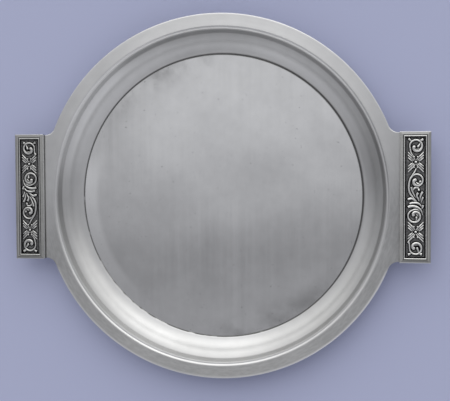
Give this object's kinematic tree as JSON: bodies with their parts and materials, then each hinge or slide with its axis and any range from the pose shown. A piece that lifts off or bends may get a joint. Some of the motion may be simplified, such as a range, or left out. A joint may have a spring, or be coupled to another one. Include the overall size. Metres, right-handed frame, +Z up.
{
  "type": "round tray",
  "caption": "Round pressed steel serving tray with a flat well, ogee wall and stepped rim, and riveted side handles that frame cast scrollwork plaques.",
  "frame": {"origin": "centre of the well's underside, on the plane that the tray stands on", "axes": "+Z up out of the well, X through the middles of both handles"},
  "size_m": [0.408, 0.356, 0.0262],
  "materials": {
    "tray_steel": "satin, brushed along the handle side of the tray",
    "frame_steel": "satin cast moulding",
    "plaque_metal": "antiqued cast relief, blackened field and polished high points",
    "rivet_steel": "plain drawn wire"
  },
  "bodies": {
    "root": {"tray_body": "tray_steel", "left_handle_frame": "frame_steel", "right_handle_frame": "frame_steel", "left_ornament_plaque": "plaque_metal", "right_ornament_plaque": "plaque_metal", "left_handle_rivets": "rivet_steel", "right_handle_rivets": "rivet_steel"}
  },
  "joints": []
}
